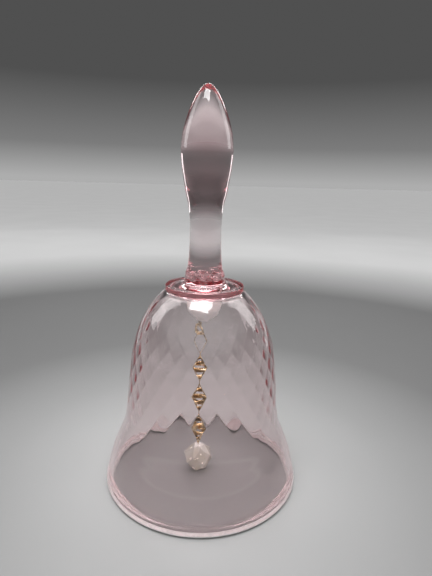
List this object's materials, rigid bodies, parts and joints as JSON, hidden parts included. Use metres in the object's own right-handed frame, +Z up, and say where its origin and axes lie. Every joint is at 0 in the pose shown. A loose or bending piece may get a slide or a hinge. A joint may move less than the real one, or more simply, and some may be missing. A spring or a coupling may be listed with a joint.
{
  "type": "glass bell",
  "caption": "Hand bell of pale pink diamond-optic glass with a collar, a solid spindle handle and a faceted glass clapper on a fine brass chain.",
  "frame": {"origin": "centre of the rim circle, on the plane the bell stands on", "axes": "+Z up along the axis of the bell and its handle, -Y towards the viewer"},
  "size_m": [0.088, 0.088, 0.1706],
  "materials": {
    "pink_glass": "clear pale pink, fire polished",
    "setting_cement": "off-white setting cement, matt",
    "brass": "bright brass wire",
    "bead_glass": "clear glass with a slight milky cast, faceted"
  },
  "bodies": {
    "bell": {"bell_bowl": "pink_glass", "collar_disc": "pink_glass", "handle": "pink_glass", "cement_plug": "setting_cement", "hanger_eye": "brass"},
    "hanger_link": {"hanger_link": "brass"},
    "chain_link_01": {"chain_link_01": "brass"},
    "chain_link_02": {"chain_link_02": "brass"},
    "chain_link_03": {"chain_link_03": "brass"},
    "chain_link_04": {"chain_link_04": "brass"},
    "chain_link_05": {"chain_link_05": "brass"},
    "chain_link_06": {"chain_link_06": "brass"},
    "chain_link_07": {"chain_link_07": "brass"},
    "chain_link_08": {"chain_link_08": "brass"},
    "chain_link_09": {"chain_link_09": "brass"},
    "chain_link_10": {"chain_link_10": "brass"},
    "chain_link_11": {"chain_link_11": "brass"},
    "chain_link_12": {"chain_link_12": "brass"},
    "chain_link_13": {"chain_link_13": "brass"},
    "chain_link_14": {"chain_link_14": "brass"},
    "chain_link_15": {"chain_link_15": "brass"},
    "chain_link_16": {"chain_link_16": "brass"},
    "chain_link_17": {"chain_link_17": "brass"},
    "chain_link_18": {"chain_link_18": "brass"},
    "chain_link_19": {"chain_link_19": "brass"},
    "chain_link_20": {"chain_link_20": "brass"},
    "clapper_pin": {"clapper_pin": "brass"},
    "clapper_bead": {"clapper_bead": "bead_glass"}
  },
  "joints": [
    {"name": "hanger_swing", "type": "hinge", "parent": "bell", "child": "hanger_link", "pos_m": [-0.0015, 0, 0.0674], "axis": [-0.7071, 0.7071, 0], "range_deg": [-28, 28]},
    {"name": "chain_link_01_swing", "type": "hinge", "parent": "hanger_link", "child": "chain_link_01", "pos_m": [-0.0015, 0, 0.05928], "axis": [0.7071, 0.7071, 0], "range_deg": [-28, 28]},
    {"name": "chain_link_02_swing", "type": "hinge", "parent": "chain_link_01", "child": "chain_link_02", "pos_m": [-0.0015, 0, 0.05708], "axis": [0.7071, -0.7071, 0], "range_deg": [-28, 28]},
    {"name": "chain_link_03_swing", "type": "hinge", "parent": "chain_link_02", "child": "chain_link_03", "pos_m": [-0.0015, 0, 0.05488], "axis": [-0.7071, -0.7071, 0], "range_deg": [-28, 28]},
    {"name": "chain_link_04_swing", "type": "hinge", "parent": "chain_link_03", "child": "chain_link_04", "pos_m": [-0.0015, 0, 0.05267], "axis": [-0.7071, 0.7071, 0], "range_deg": [-28, 28]},
    {"name": "chain_link_05_swing", "type": "hinge", "parent": "chain_link_04", "child": "chain_link_05", "pos_m": [-0.0015, 0, 0.05047], "axis": [0.7071, 0.7071, 0], "range_deg": [-28, 28]},
    {"name": "chain_link_06_swing", "type": "hinge", "parent": "chain_link_05", "child": "chain_link_06", "pos_m": [-0.0015, 0, 0.04827], "axis": [0.7071, -0.7071, 0], "range_deg": [-28, 28]},
    {"name": "chain_link_07_swing", "type": "hinge", "parent": "chain_link_06", "child": "chain_link_07", "pos_m": [-0.0015, 0, 0.04607], "axis": [-0.7071, -0.7071, 0], "range_deg": [-28, 28]},
    {"name": "chain_link_08_swing", "type": "hinge", "parent": "chain_link_07", "child": "chain_link_08", "pos_m": [-0.0015, 0, 0.04387], "axis": [-0.7071, 0.7071, 0], "range_deg": [-28, 28]},
    {"name": "chain_link_09_swing", "type": "hinge", "parent": "chain_link_08", "child": "chain_link_09", "pos_m": [-0.0015, 0, 0.04167], "axis": [0.7071, 0.7071, 0], "range_deg": [-28, 28]},
    {"name": "chain_link_10_swing", "type": "hinge", "parent": "chain_link_09", "child": "chain_link_10", "pos_m": [-0.0015, 0, 0.03948], "axis": [0.7071, -0.7071, 0], "range_deg": [-28, 28]},
    {"name": "chain_link_11_swing", "type": "hinge", "parent": "chain_link_10", "child": "chain_link_11", "pos_m": [-0.0015, 0, 0.03728], "axis": [-0.7071, -0.7071, 0], "range_deg": [-28, 28]},
    {"name": "chain_link_12_swing", "type": "hinge", "parent": "chain_link_11", "child": "chain_link_12", "pos_m": [-0.0015, 0, 0.03508], "axis": [-0.7071, 0.7071, 0], "range_deg": [-28, 28]},
    {"name": "chain_link_13_swing", "type": "hinge", "parent": "chain_link_12", "child": "chain_link_13", "pos_m": [-0.0015, 0, 0.03288], "axis": [0.7071, 0.7071, 0], "range_deg": [-28, 28]},
    {"name": "chain_link_14_swing", "type": "hinge", "parent": "chain_link_13", "child": "chain_link_14", "pos_m": [-0.0015, 0, 0.03068], "axis": [0.7071, -0.7071, 0], "range_deg": [-28, 28]},
    {"name": "chain_link_15_swing", "type": "hinge", "parent": "chain_link_14", "child": "chain_link_15", "pos_m": [-0.0015, 0, 0.02848], "axis": [-0.7071, -0.7071, 0], "range_deg": [-28, 28]},
    {"name": "chain_link_16_swing", "type": "hinge", "parent": "chain_link_15", "child": "chain_link_16", "pos_m": [-0.0015, 0, 0.02627], "axis": [-0.7071, 0.7071, 0], "range_deg": [-28, 28]},
    {"name": "chain_link_17_swing", "type": "hinge", "parent": "chain_link_16", "child": "chain_link_17", "pos_m": [-0.0015, 0, 0.02407], "axis": [0.7071, 0.7071, 0], "range_deg": [-28, 28]},
    {"name": "chain_link_18_swing", "type": "hinge", "parent": "chain_link_17", "child": "chain_link_18", "pos_m": [-0.0015, 0, 0.02187], "axis": [0.7071, -0.7071, 0], "range_deg": [-28, 28]},
    {"name": "chain_link_19_swing", "type": "hinge", "parent": "chain_link_18", "child": "chain_link_19", "pos_m": [-0.0015, 0, 0.01968], "axis": [-0.7071, -0.7071, 0], "range_deg": [-28, 28]},
    {"name": "chain_link_20_swing", "type": "hinge", "parent": "chain_link_19", "child": "chain_link_20", "pos_m": [-0.0015, 0, 0.01748], "axis": [-0.7071, 0.7071, 0], "range_deg": [-28, 28]},
    {"name": "clapper_swing", "type": "hinge", "parent": "chain_link_20", "child": "clapper_pin", "pos_m": [-0.0015, 0, 0.01528], "axis": [0.7071, 0.7071, 0], "range_deg": [-28, 28]},
    {"name": "bead_spin", "type": "hinge", "parent": "clapper_pin", "child": "clapper_bead", "pos_m": [-0.0015, 0, 0.0074], "axis": [0, 0, 1], "continuous": true}
  ]
}
